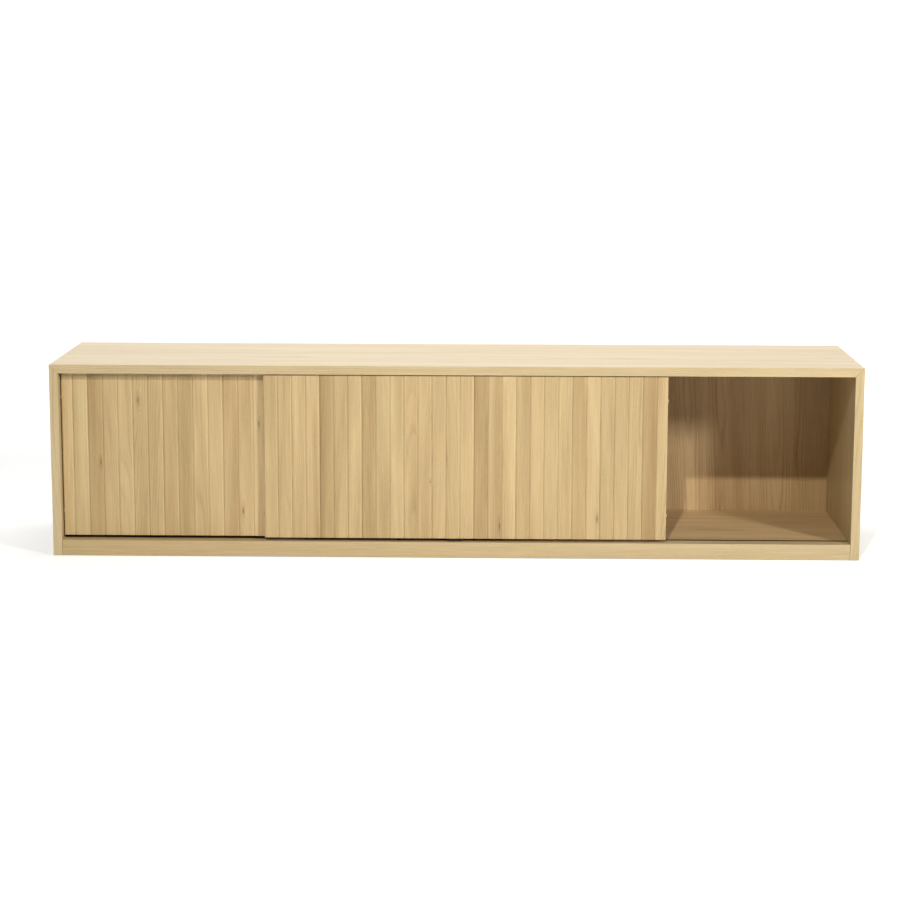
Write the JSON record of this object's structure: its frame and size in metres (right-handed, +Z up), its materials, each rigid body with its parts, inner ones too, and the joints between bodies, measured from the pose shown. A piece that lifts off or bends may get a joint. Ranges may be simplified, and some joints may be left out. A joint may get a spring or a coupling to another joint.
{
  "type": "media cabinet",
  "caption": "Low, wide oak media cabinet with a mitred case, a front rail and two slatted sliding doors that pass each other in front of two bays.",
  "frame": {"origin": "middle of the footprint, on the ground", "axes": "+X to the right along the length, +Y from the front towards the back, +Z up"},
  "size_m": [2, 0.45, 0.48],
  "materials": {
    "oak": "pale natural oak, matt oiled",
    "oak_slats": "solid oak slats, matt oiled",
    "oak_veneer": "oak veneer, matt lacquer",
    "beech": "planed beech, unfinished",
    "plywood": "birch plywood, sawn",
    "track_aluminium": "extruded, natural anodised",
    "bronze_aluminium": "extruded, dark bronze anodised",
    "screw_steel": "zinc plated",
    "nylon": "moulded nylon, black",
    "black_plastic": "fine textured",
    "bumper_rubber": "soft polyurethane, milky tan"
  },
  "bodies": {
    "case": {"top_panel": "oak", "side_left": "oak", "side_right": "oak", "floor_panel": "oak_veneer", "centre_partition": "oak_veneer", "back_panel_left": "oak_veneer", "back_panel_right": "oak_veneer", "front_rail": "oak", "rear_rail": "beech", "centre_foot_rail": "beech", "floor_cleat_left": "beech", "floor_cleat_right": "beech", "mitre_spline_left": "plywood", "mitre_spline_right": "plywood", "floor_dowels_left": "beech", "floor_dowels_right": "beech", "rail_dowels": "beech", "rail_end_dowels": "beech", "partition_dowels": "beech", "top_track_front": "track_aluminium", "top_track_rear": "track_aluminium", "track_screws": "screw_steel", "lower_channel": "bronze_aluminium", "channel_screws": "screw_steel", "centre_guide": "nylon", "guide_screws": "screw_steel", "cable_ring_left": "black_plastic", "cable_ring_right": "black_plastic", "back_screws": "screw_steel", "underframe_screws": "screw_steel", "glides": "nylon"},
    "front_door": {"front_door_board": "oak_veneer", "front_door_slats": "oak_slats", "front_glider_left": "nylon", "front_glider_right": "nylon", "front_door_bumpers": "bumper_rubber"},
    "rear_door": {"rear_door_board": "oak_veneer", "rear_door_slats": "oak_slats", "rear_glider_left": "nylon", "rear_glider_right": "nylon", "rear_door_bumpers": "bumper_rubber", "rear_shoe_left": "nylon", "rear_shoe_right": "nylon", "shoe_screws": "screw_steel"}
  },
  "joints": [
    {"name": "front_door_slide", "type": "slide", "parent": "case", "child": "front_door", "axis": [1, 0, 0], "range_m": [-0.502, 0.453]},
    {"name": "rear_door_slide", "type": "slide", "parent": "case", "child": "rear_door", "axis": [1, 0, 0], "range_m": [0, 0.955]}
  ]
}
